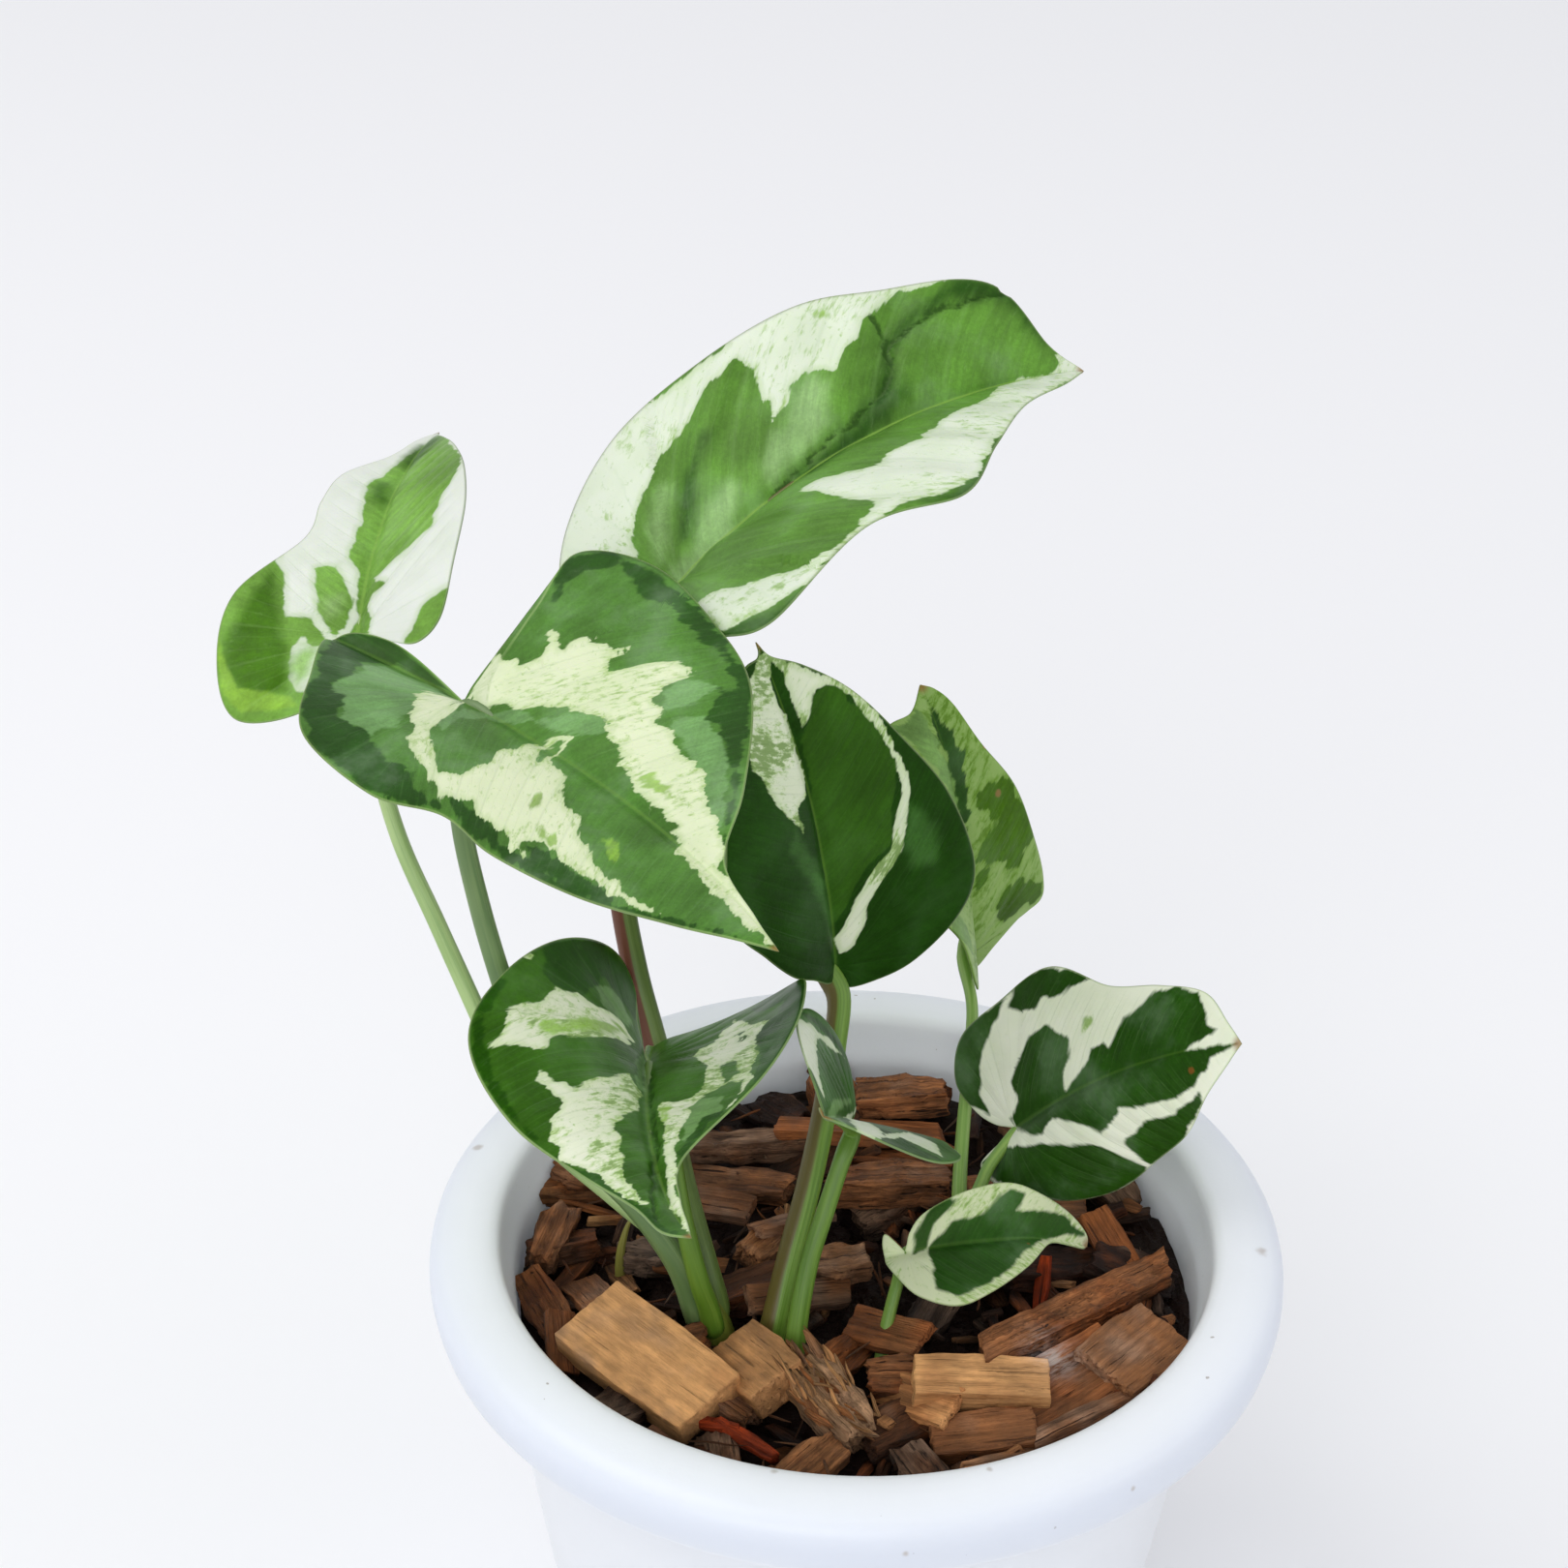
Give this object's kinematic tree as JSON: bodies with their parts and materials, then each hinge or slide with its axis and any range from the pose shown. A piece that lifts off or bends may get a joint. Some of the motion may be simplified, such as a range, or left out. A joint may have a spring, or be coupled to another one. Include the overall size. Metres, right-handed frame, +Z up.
{
  "type": "potted trailing aroid",
  "caption": "Young variegated pothos with heart-shaped cream and green leaves on slim stalks, standing in bark mix in a round tapered pot with a rolled rim.",
  "frame": {"origin": "centre of the pot's flat underside", "axes": "+Z up, -Y towards the side that the picture shows, +X to the right as seen from there"},
  "size_m": [0.1977, 0.19, 0.2624],
  "materials": {
    "pot": "satin white moulded plastic",
    "bark": "rough damp bark chips",
    "stem": "satin living stem",
    "sprout": "satin living shoot",
    "leaf": "satin living leaf, cream and green"
  },
  "bodies": {
    "root": {"pot": "pot", "bark_mix": "bark", "stem_left": "stem", "stem_right": "stem", "sprout": "sprout", "leaf_top": "leaf", "leaf_front_left": "leaf", "leaf_low_front": "leaf", "leaf_back_left": "leaf", "leaf_middle": "leaf", "leaf_young": "leaf", "leaf_back_right": "leaf", "leaf_right": "leaf", "leaf_low_right": "leaf"}
  },
  "joints": []
}
